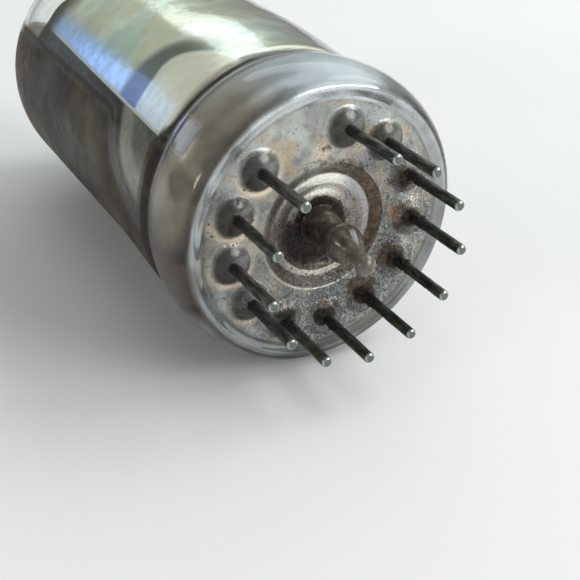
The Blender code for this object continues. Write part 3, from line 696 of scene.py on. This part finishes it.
def recess_edge(r, width):
    """1 along the recess's edge, fading over the width in mm."""
    return np.exp(-((r - RECESS_R - 0.05 * MM) / (width * MM)) ** 2)


def skin_and_beads(x, z, r):
    """How much skin covers the face, and where the beads show."""
    distances = pin_distances(x, z)
    on_bead = 1 - smooth(distances.min(axis=0), 0.80 * BEAD_R, 1.05 * BEAD_R)
    of_bead = np.array([SKIN_OF_BEAD.get(n + 1, 0.45) for n in range(PIN_COUNT)])[distances.argmin(axis=0)]
    inside = 1 - smooth(r, 11.6 * MM, 12.4 * MM)
    return inside * (0.93 * (1 - on_bead) + of_bead * on_bead), on_bead * (1.25 - of_bead)


def rust_mark(x, z, r):
    rust = recess_slope(r) * np.maximum(0.9 * facing(x, z, 15) ** 1.5, 0.3 * facing(x, z, 170) ** 3)
    near_edge = between(r, RECESS_R, RECESS_R + 0.4 * MM, 0.9 * MM)
    rust = np.maximum(rust, 0.5 * near_edge * facing(x, z, 75) ** 4)
    past_edge = between(r, RECESS_R, RECESS_R + 1.4 * MM, 1.2 * MM)
    rust = np.maximum(rust, 0.42 * past_edge * facing(x, z, 85) ** 6)
    for number, amount in RUST_OF_PIN.items():
        by_pin = 1 - smooth(from_pin(x, z, number, 0.90), 0.8 * MM, 3.0 * MM)
        rust = np.maximum(rust, amount * by_pin)
    return rust


def soot_mark(x, z, r):
    soot = 0.95 * (1 - smooth(r, 2.0 * MM, 3.9 * MM))
    soot = np.maximum(soot, (1 - smooth(r, 3.2 * MM, 5.0 * MM)) * facing(x, z, 225) ** 1.2)
    soot = np.maximum(soot, 0.7 * recess_edge(r, 0.12) * facing(x, z, 30) ** 2)
    for number in RUST_OF_PIN:
        by_pin = 1 - smooth(from_pin(x, z, number, 0.95), 0.6 * MM, 1.6 * MM)
        soot = np.maximum(soot, 0.8 * by_pin)
    for number, amount in TAR_OF_PIN.items():
        tar = 1 - smooth(from_pin(x, z, number, 1.0, -0.55, 0.45), 0.4 * MM, 1.5 * MM)
        soot = np.maximum(soot, amount * tar)
    return soot


def bright_mark(x, z, r):
    # Painted highlights: the bright arcs of the recess and a thin line along its lower edge.
    bright = 0.9 * recess_edge(r, 0.09) * facing(x, z, 265) ** 3
    for strength, low, high, ramp, degrees, power in BRIGHT_ARCS:
        arc = between(r, low * MM, high * MM, ramp * MM) * facing(x, z, degrees) ** power
        bright = np.maximum(bright, strength * arc)
    return np.clip(bright, 0, 1)


def glow_mark(x, z):
    """Warm light below the clear beads, and one cream spot above the recess."""
    spot = np.hypot(x + 0.3 * MM, z - 7.3 * MM)
    glow = 0.6 * np.exp(-(spot / (0.9 * MM)) ** 2)
    for number, strength in GLOW_OF_BEAD.items():
        edge = np.exp(-((from_pin(x, z, number) - 2.25 * MM) / (0.28 * MM)) ** 2)
        glow = np.maximum(glow, strength * edge * round_pin(x, z, number, 275) ** 3)
    return glow


def dim_and_lit(x, z, r):
    """Painted shade on the shaded side of the recess, and painted shade and a painted highlight on each clear
    bead.
    """
    dim = 0.97 * (1 - smooth(r, 4.9 * MM, 5.3 * MM)) * facing(x, z, 198) ** 0.8
    dim = np.maximum(dim, 0.85 * recess_slope(r) * facing(x, z, 250) ** 1.5)
    lit = np.zeros_like(r)
    for number in CLEAR_BEADS:
        on_bead = 1 - smooth(from_pin(x, z, number), 0.85 * BEAD_R, 1.0 * BEAD_R)
        dim = np.maximum(dim, 0.6 * on_bead * round_pin(x, z, number, 215) ** 1.5)
        spot = from_pin(x, z, number, 1.0, 1.0, 0.65)
        lit = np.maximum(lit, 0.4 * np.exp(-(spot / (1.1 * MM)) ** 2))
    return dim, lit


def face_marks(x, z):
    """All masks of MARKS on the face."""
    r = np.hypot(x, z)
    skin, bead = skin_and_beads(x, z, r)
    tan = (1 - smooth(r, 4.5 * MM, 5.0 * MM)) * (1 - 0.6 * facing(x, z, 80))
    tan = np.maximum(tan, 0.5 * between(r, 4.8 * MM, 6.0 * MM, 0.3 * MM) * facing(x, z, 200))
    grit = (0.05 + 0.95 * facing(x, z, -55) ** 1.5) * (1 - smooth(r, 11.7 * MM, 12.3 * MM)) * (1 - 0.6 * tan)
    # The worn land round the face, lighter towards the top as a painted highlight.
    worn = between(r, 12.45 * MM, 13.15 * MM, 0.55 * MM) * (0.28 + 0.72 * facing(x, z, 95) ** 2.5)
    dim, lit = dim_and_lit(x, z, r)
    orange = np.exp(-(from_pin(x, z, ORANGE_PIN, 1.0, -2.1, 0.6) / (0.6 * MM)) ** 2)
    rust, soot = rust_mark(x, z, r), soot_mark(x, z, r)
    bright, glow = bright_mark(x, z, r), glow_mark(x, z)
    return dict(zip(MARKS, (skin, rust, soot, bright, grit, worn, bead, tan, glow, dim, lit, orange)))


def outside_profile():
    """The glass's outside past the face, as (radius, y) pairs: rim, seam, wall and dome."""
    rim = [
        (12.3 * MM, FACE_Y),
        (12.6 * MM, 0.14 * MM),
        (12.95 * MM, 0.0),
        (13.3 * MM, 0.04 * MM),
        (13.75 * MM, 0.33 * MM),
        (14.12 * MM, 0.85 * MM),
        (14.42 * MM, 1.65 * MM),
        (RIM_R - 0.07 * MM, 2.5 * MM),
        (RIM_R, 3.6 * MM),
        (RIM_R - 0.06 * MM, 5.0 * MM),
        (RIM_R - 0.22 * MM, 6.4 * MM),
        (BULB_R + 0.06 * MM, 7.2 * MM),
        (BULB_R - 0.1 * MM, SEAM_Y),
        (BULB_R - 0.02 * MM, SEAM_Y + 0.7 * MM),
        (BULB_R, SEAM_Y + 1.6 * MM),
    ]
    path = [tuple(p) for p in curve_through(rim, 4)]
    path += [(BULB_R, y) for y in WALL_STEPS]
    return path + dome_curve(BULB_R, DOME_TOP, DOME_HEIGHT, 28)


def inside_profile():
    """The cavity's outline past its flat floor, as (radius, y) pairs, up to the dome's pole."""
    inner_r = BULB_R - WALL
    bend = [
        (11.2 * MM, INNER_Y),
        (11.9 * MM, INNER_Y + 0.25 * MM),
        (12.5 * MM, INNER_Y + 1.0 * MM),
        (12.85 * MM, INNER_Y + 2.3 * MM),
        (12.9 * MM, SEAM_Y - 0.7 * MM),
        (12.75 * MM, SEAM_Y + 0.1 * MM),
        (13.0 * MM, SEAM_Y + 0.9 * MM),
        (inner_r, SEAM_Y + 1.8 * MM),
    ]
    path = [tuple(p) for p in curve_through(bend, 4)]
    path += [(inner_r, y) for y in WALL_STEPS]
    return path + dome_curve(inner_r, DOME_TOP - WALL, DOME_HEIGHT - WALL, 24)


def bulb_shift(y):
    """The bulb is sealed on a little off the base's axis. Returns the shift in x and z."""
    share = float(smooth(np.float64(y), SEAM_Y, SEAM_Y + 14 * MM))
    return 0.26 * MM * share, 0.56 * MM * share


def floor_ring(r, cos, sin, lift=0.0):
    """A ring of the cavity's floor, which rises round each pin."""
    x, z = r * cos, r * sin
    d = pin_distances(x, z).min(axis=0)
    rise = 0.7 * MM * np.clip(1 - (d / (1.6 * MM)) ** 2, 0, 1) ** 0.8
    return x, INNER_Y + lift + rise, z


def outside_coats(turn, y):
    """A pale coat on the outside of the rim as painted light, and brown dirt on the bulb's low side and its
    seam that is partly painted shade.
    """
    degrees = np.degrees(turn)
    # Painted light and shade on the rim: amounts of the pale coat by angle and height.
    painted_rim_shading = 0.28 * between(degrees, 75, 168, 12) * between(y, 0.8 * MM, 5.6 * MM, 0.9 * MM)
    right = np.maximum(1 - smooth(degrees, 40, 60), smooth(degrees, 300, 320))
    painted_rim_shading = np.maximum(painted_rim_shading, 0.45 * right * between(y, 0.8 * MM, 7.0 * MM, 0.9 * MM))
    low_left = between(degrees, 212, 245, 9) * between(y, 0.4 * MM, 1.8 * MM, 0.5 * MM)
    painted_rim_shading = np.maximum(painted_rim_shading, 0.25 * low_left)
    reach = np.hypot(np.radians(degrees - PATCH_TURN) * BULB_R, y - PATCH_Y)
    low = smooth(degrees, 149, 157) * (1 - smooth(degrees, 290, 315))
    # Dirt and painted shade on the low side beyond the cream half disc.
    grime_and_shade = 0.62 * low * smooth(reach, 9.5 * MM, 12 * MM) * smooth(y, SEAM_Y, SEAM_Y + 1 * MM)
    seam = between(y, SEAM_Y - 0.5 * MM, SEAM_Y + 1.3 * MM, 0.5 * MM) * between(degrees, 152, 215, 9)
    return painted_rim_shading, np.maximum(grime_and_shade, 0.95 * seam)


def circle(sides):
    """Angles round the axis, with their cosines and sines."""
    turn = np.linspace(0, 2 * math.pi, sides, endpoint=False)
    return turn, np.cos(turn), np.sin(turn)


def envelope_faces(outer_rings, inner_rings, sides, first_pole):
    """The outer skin, then the cavity, each closed by a fan at both ends."""
    cavity = outer_rings * sides
    faces = grid_faces(outer_rings, sides, flip=True)
    faces += fan(first_pole, 0, sides)
    faces += fan(first_pole + 1, (outer_rings - 1) * sides, sides, flip=True)
    faces += grid_faces(inner_rings, sides, cavity)
    faces += fan(first_pole + 2, cavity, sides, flip=True)
    faces += fan(first_pole + 3, cavity + (inner_rings - 1) * sides, sides)
    return faces


def make_envelope():
    """Bulb and base as one glass body with a cavity, with the marks as point attributes."""
    sides = 320
    turn, cos, sin = circle(sides)
    none = np.zeros(sides)
    rings = []
    marks = {key: [] for key in MARKS + COATS}

    def add_ring(x, y, z, on_face=False, coats=(none, none)):
        rings.append(np.stack([x, y, z], axis=1))
        for key, values in face_marks(x, z).items():
            marks[key].append(values if on_face else none)
        for key, values in zip(COATS, coats):
            marks[key].append(values)

    for r in np.arange(0.3 * MM, 12.25 * MM, 0.11 * MM):
        x, z = r * cos, r * sin
        add_ring(x, face_height(x, z), z, on_face=True)
    for k, (r, y) in enumerate(outside_profile()):
        dx, dz = bulb_shift(y)
        coats = outside_coats(turn, y) if k >= FIRST_COATED_RING else (none, none)
        add_ring(r * cos + dx, np.full(sides, y), r * sin + dz, on_face=y < 0.7 * MM, coats=coats)
    outer_rings = len(rings)
    for r in np.arange(0.4 * MM, 11.0 * MM, 0.2 * MM):
        add_ring(*floor_ring(r, cos, sin))
    for r, y in inside_profile():
        dx, dz = bulb_shift(y)
        add_ring(r * cos + dx, np.full(sides, y), r * sin + dz)

    middle = np.zeros(1)
    top_x, top_z = bulb_shift(DOME_TOP)
    poles = [
        (0.0, float(face_height(middle, middle)[0]), 0.0),
        (top_x, DOME_TOP, top_z),
        (0.0, INNER_Y, 0.0),
        (top_x, DOME_TOP - WALL, top_z),
    ]
    corners = np.concatenate(rings + [np.array(poles)])
    values = {key: np.concatenate(rows + [np.zeros(len(poles))]) for key, rows in marks.items()}
    faces = envelope_faces(outer_rings, len(rings) - outer_rings, sides, len(corners) - len(poles))
    envelope = add_mesh("glass_envelope", corners, faces, envelope_glass(), values)
    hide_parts("glass_bulb", "button_stem")
    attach(envelope, "root")


def make_exhaust_tip():
    """The sealed pumping tube: foot, ball and drawn nib, hollow from the foot into the ball."""
    sides = 64
    foot = FACE_Y + RECESS_DEPTH - 0.03 * MM
    outline = [
        (2.0 * MM, foot),
        (1.85 * MM, 0.75 * MM),
        (1.72 * MM, 0.3 * MM),
        (1.6 * MM, -0.6 * MM),
        (1.42 * MM, -1.4 * MM),
        (1.4 * MM, -1.9 * MM),
        (1.66 * MM, -2.5 * MM),
        (1.8 * MM, -3.2 * MM),
        (1.7 * MM, -3.9 * MM),
        (1.3 * MM, -4.65 * MM),
        (0.98 * MM, -5.2 * MM),
        (0.84 * MM, -5.8 * MM),
        (0.84 * MM, -6.4 * MM),
        (0.98 * MM, -7.0 * MM),
        (0.88 * MM, -7.5 * MM),
        (0.5 * MM, -7.85 * MM),
        (0.1 * MM, tip_low.y),
    ]
    bore = [
        (0.1 * MM, -3.6 * MM),
        (0.6 * MM, -2.9 * MM),
        (0.85 * MM, -1.6 * MM),
        (1.1 * MM, -0.3 * MM),
        (1.3 * MM, foot),
    ]
    path = curve_through(outline, 5) + curve_through(bore, 4)
    _, cos, sin = circle(sides)
    rings = []
    bend_y = -2.5 * MM
    lean_x, lean_z = -0.2 * MM, -0.35 * MM
    for r, y in path:
        share = max(0.0, (bend_y - y) / (bend_y - tip_low.y)) ** 2
        x, z = r * cos + lean_x * share, r * sin + lean_z * share
        rings.append(np.stack([x, np.full(sides, y), z], axis=1))
    faces = grid_faces(len(path), sides)
    last = (len(path) - 1) * sides
    faces += [(last + i, last + (i + 1) % sides, (i + 1) % sides, i) for i in range(sides)]
    tip = add_mesh("exhaust_tip_glass", np.concatenate(rings), faces, smoked_glass())
    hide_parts("exhaust_tip")
    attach(tip, "root")


# ---------------------------------------------------------------- film, pins, mount

# Painted shade on the film by the base, dark spots where the beads show through the rim: angle in degrees, y,
# radius and depth of tone
SHADOWS = ((156.3, 4.2 * MM, 1.4 * MM, 0.75), (133.5, 4.1 * MM, 1.1 * MM, 0.5))

# Radius in mm of the dark spot that the film has round each pin
SPOT_OF_PIN = {1: 2.0, 2: 1.9, 9: 1.7, 10: 1.0, 11: 1.9, 12: 2.1}


def floor_painted_shade(x, z, r):
    """Painted shade on the film of the cavity's floor, standing in for the dark inside: dark spots round the
    pins and a dark middle.
    """
    distances = pin_distances(x, z)
    spot = np.array([SPOT_OF_PIN.get(n + 1, 1.2) for n in range(PIN_COUNT)])[distances.argmin(axis=0)] * MM
    by_pin = 1 - smooth(distances.min(axis=0), 0.6 * spot, 1.1 * spot)
    return np.maximum(by_pin, 1 - smooth(r, 2.5 * MM, 4.5 * MM))


def wall_darkness(turn, r, y):
    """A dark band along the seam, wider on the low side, and the spots of SHADOWS."""
    degrees = np.degrees(turn)
    low = smooth(degrees, 138, 150) * (1 - smooth(degrees, 250, 300))
    start = SEAM_Y + (0.2 - 1.0 * low) * MM
    stop = SEAM_Y + (1.3 + 0.9 * low) * MM
    band = smooth(y, start, start + 0.5 * MM) * (1 - smooth(y, stop, stop + 0.4 * MM))
    dark = band * (0.2 + 0.8 * smooth(np.cos(turn - math.radians(150)), 0.1, 0.5))
    for angle, level, size, depth in SHADOWS:
        reach = np.hypot(np.radians(degrees - angle) * r, y - level)
        dark = np.maximum(dark, depth * (1 - smooth(reach, 0.5 * size, 1.2 * size)))
    return dark


def make_film():
    """The mirror on the inside of the glass, from the base's inner face up the wall."""
    sides = 320
    turn, cos, sin = circle(sides)
    degrees = np.degrees(turn)
    rings = []
    marks = {key: [] for key in FILM_MARKS}

    def add_ring(x, y, z, base_part, dark, shine):
        rings.append(np.stack([x, y, z], axis=1))
        for key, values in zip(FILM_MARKS, (base_part, dark, shine)):
            marks[key].append(values)

    for r in np.arange(0.6 * MM, 11.0 * MM, 0.2 * MM):
        x, y, z = floor_ring(r, cos, sin, -FILM_DEPTH)
        add_ring(x, y, z, np.ones(sides), floor_painted_shade(x, z, r), np.zeros(sides))
    waves = np.sin(turn * 3 + 0.7) + 0.5 * np.sin(turn * 7 + 2.0) + 0.25 * np.sin(turn * 17)
    edge = film_high.y + 1.4 * MM * (waves - 0.6)
    for r, y in inside_profile():
        if y > film_high.y + 2 * MM:
            break
        dx, dz = bulb_shift(y)
        reach = r + FILM_DEPTH
        height = np.minimum(np.full(sides, y), edge) - FILM_DEPTH
        base_part = np.full(sides, 1 - smooth(y, SEAM_Y, SEAM_Y + 1.2 * MM))
        # A glossier patch of film, tinted blue as a painted reflection.
        shine = between(degrees, 136, 146, 4) * between(y, 5.2 * MM, SEAM_Y + 0.7 * MM, 0.9 * MM)
        dark = wall_darkness(turn, r, y)
        add_ring(reach * cos + dx, height, reach * sin + dz, base_part, dark, shine)
    values = {key: np.concatenate(rows) for key, rows in marks.items()}
    faces = grid_faces(len(rings), sides)
    film = add_mesh("getter_mirror_film", np.concatenate(rings), faces, silver_film(), values)
    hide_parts("getter_film")
    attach(film, "root")


# How lumpy the crust is at the root of each corroded pin
CRUST_OF_PIN = {3: 0.07, 4: 0.10, 5: 0.10, 6: 0.11, 7: 0.07, 8: 0.06}


def pin_outline(low_y, high_y, radius, rng):
    """A pin from its worn tip to its inner end, with a slightly uneven body."""
    long_part = np.linspace(low_y + 1.0 * MM, -3.0 * MM, 8)
    root_part = np.linspace(-2.8 * MM, -0.8 * MM, 11)
    outline = [
        (0.05 * radius, low_y),
        (0.55 * radius, low_y),
        (0.74 * radius, low_y + 0.03 * MM),
        (0.9 * radius, low_y + 0.1 * MM),
        (radius, low_y + 0.24 * MM),
        (radius, low_y + 0.5 * MM),
    ]
    outline += [(radius * (1 + 0.02 * rng.standard_normal()), y) for y in (*long_part, *root_part)]
    outline += [
        (1.05 * radius, -0.6 * MM),
        (1.12 * radius, 0.0),
        (1.05 * radius, 1.0 * MM),
        (radius, 2.6 * MM),
        (radius, high_y - 0.2 * MM),
        (0.8 * radius, high_y),
        (0.05 * radius, high_y),
    ]
    return outline


def make_pin(number, metal, rng):
    """One pin, with a lumpy crust near the glass."""
    sides = 36
    turn, cos, sin = circle(sides)
    name = f"contact_pin_{number:02d}"
    low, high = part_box(name)
    cx, cz = PINS[number - 1]
    outline = pin_outline(low.y, high.y, (high.z - low.z) / 2, rng)
    crust = CRUST_OF_PIN.get(number, 0.03)
    rings = []
    for r, y in outline:
        lumps = rng.standard_normal(4)
        wave = sum(lump * np.cos((k + 2) * turn + 3 * lump) for k, lump in enumerate(lumps))
        near_root = smooth(y, -3.0 * MM, -1.6 * MM) * (1 - smooth(y, 0.0, 0.5 * MM))
        reach = r * (1 + crust * near_root * wave)
        rings.append(np.stack([cx + reach * cos, np.full(sides, y), cz + reach * sin], axis=1))
    faces = grid_faces(len(outline), sides, flip=True)
    faces.append(tuple(range(sides)))
    faces.append(tuple(range((len(outline) - 1) * sides, len(outline) * sides))[::-1])
    pin = add_mesh(f"pin_{number:02d}", np.concatenate(rings), faces, metal)
    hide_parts(name)
    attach(pin, "root")


def make_pins():
    metal = pin_metal(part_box("contact_pin_01")[0].y)
    rng = np.random.default_rng(5)
    for number in range(1, PIN_COUNT + 1):
        make_pin(number, metal, rng)


def coat_mount():
    """Better materials on the CAD pieces of the electrode mount."""
    finishes = {
        "nickel": sheet_metal("dull_nickel", (0.38, 0.37, 0.35), (0.62, 0.61, 0.58), 0.34),
        "plate_metal": sheet_metal("carbonised_nickel", (0.035, 0.035, 0.038), (0.10, 0.10, 0.10), 0.55, 0.5),
        "grid_wire": sheet_metal("grid_wire", (0.50, 0.43, 0.28), (0.72, 0.63, 0.44), 0.28),
        "oxide": sheet_metal("oxide_coat", (0.70, 0.70, 0.66), (0.86, 0.86, 0.82), 0.8, 0.0),
        "heater_coat": sheet_metal("heater_coat", (0.78, 0.78, 0.74), (0.90, 0.90, 0.87), 0.8, 0.0),
        "getter_metal": sheet_metal("fired_getter", (0.16, 0.14, 0.13), (0.42, 0.40, 0.38), 0.5),
        "mica": mica_sheet(),
    }
    slots = {row["node"]: row["material_slot"] for row in frame["record"]["subparts"]}
    for name, node in nodes.items():
        finish = finishes.get(slots[name])
        if finish and not node.hide_render:
            node.data.materials.clear()
            node.data.materials.append(finish)


# ---------------------------------------------------------------- stage, lights, camera


def make_floor():
    size = 1.5
    corners = [(-size, -size, 0), (size, -size, 0), (size, size, 0), (-size, size, 0)]
    floor = add_mesh("floor", corners, [(0, 1, 2, 3)], floor_paint())
    floor.location.z = -RIM_R


def add_light(name, direction, distance, size, power, colour=(1.0, 1.0, 1.0)):
    """An oval softbox at a distance along a direction, facing the tube's base."""
    light = bpy.data.lights.new(name, "AREA")
    light.shape = "ELLIPSE"
    light.size, light.size_y = size
    light.energy = power
    light.color = colour
    lamp = bpy.data.objects.new(name, light)
    bpy.context.scene.collection.objects.link(lamp)
    heading = Vector(direction).normalized()
    lamp.location = heading * distance
    lamp.rotation_euler = heading.to_track_quat("Z", "Y").to_euler()


def toward(azimuth, elevation):
    """Unit vector. Azimuth 0 is +Y and 90 is +X."""
    turn, rise = math.radians(azimuth), math.radians(elevation)
    return Vector((math.sin(turn) * math.cos(rise), math.cos(turn) * math.cos(rise), math.sin(rise)))


def make_lights():
    add_light("window_left", toward(-100, 20), 0.6, (0.12, 0.12), 0.6)
    add_light("window_behind", toward(-25.2, 16.6), 1.2, (0.19, 0.35), 0.21, (0.27, 0.47, 1.0))
    add_light("rim_light", toward(54, 37.5), 0.6, (1.1, 0.26), 0.95, (0.82, 0.95, 1.0))
    add_light("front_fill", toward(142, 27), 0.7, (0.45, 0.45), 2.6)
    add_light("key", toward(98, 44), 0.9, (0.5, 0.5), 3.2)
    add_light("overhead", toward(0, 88), 0.9, (0.6, 0.6), 0.8)


def make_world():
    """A room that is bright at eye level and dark overhead, dimmer behind and to the left."""
    world = bpy.data.worlds.new("studio")
    bpy.context.scene.world = world
    world.use_nodes = True
    tree = world.node_tree
    background = tree.nodes["Background"]
    coordinates = tree.nodes.new("ShaderNodeTexCoord")
    split = tree.nodes.new("ShaderNodeSeparateXYZ")
    tree.links.new(coordinates.outputs["Generated"], split.inputs[0])

    def fade(axis, start, stop, least):
        """Rises from least to 1 as the direction's part along the axis goes from start to stop."""
        node = tree.nodes.new("ShaderNodeMapRange")
        tree.links.new(split.outputs[axis], node.inputs["Value"])
        node.inputs["From Min"].default_value = start
        node.inputs["From Max"].default_value = stop
        node.inputs["To Min"].default_value = least
        return node.outputs[0]

    strength = tree.nodes.new("ShaderNodeMath")
    strength.operation = "MULTIPLY"
    tree.links.new(fade("Y", -0.3, 0.4, 0.5), strength.inputs[0])
    tree.links.new(fade("X", -0.6, 0.0, 0.8), strength.inputs[1])
    tree.links.new(strength.outputs[0], background.inputs["Strength"])
    ramp = tree.nodes.new("ShaderNodeValToRGB")
    tree.links.new(split.outputs["Z"], ramp.inputs[0])
    tree.links.new(ramp.outputs[0], background.inputs["Color"])
    stops = [
        (0.0, (0.42, 0.43, 0.43)),
        (0.22, (0.50, 0.55, 0.52)),
        (0.41, (0.66, 0.74, 0.69)),
        (0.52, (0.68, 0.70, 0.63)),
        (0.68, (0.36, 0.37, 0.36)),
        (1.0, (0.14, 0.14, 0.14)),
    ]
    elements = ramp.color_ramp.elements
    while len(elements) < len(stops):
        elements.new(1.0)
    for element, (place, colour) in zip(elements, stops):
        element.position = place
        element.color = (*colour, 1)


def make_camera():
    camera = bpy.data.cameras.new("camera")
    camera.lens = 65.74
    camera.clip_start = 0.005
    camera.clip_end = 50.0
    holder = bpy.data.objects.new("camera", camera)
    bpy.context.scene.collection.objects.link(holder)
    holder.location = Vector((-43.69, -73.61, 43.87)) * MM
    heading = Vector((0.4122, 0.7568, -0.5073))
    holder.rotation_euler = heading.to_track_quat("-Z", "Y").to_euler()
    bpy.context.scene.camera = holder
    bpy.context.scene.view_settings.view_transform = "Standard"


make_camera()
make_envelope()
make_exhaust_tip()
make_film()
make_pins()
coat_mount()
make_floor()
make_lights()
make_world()
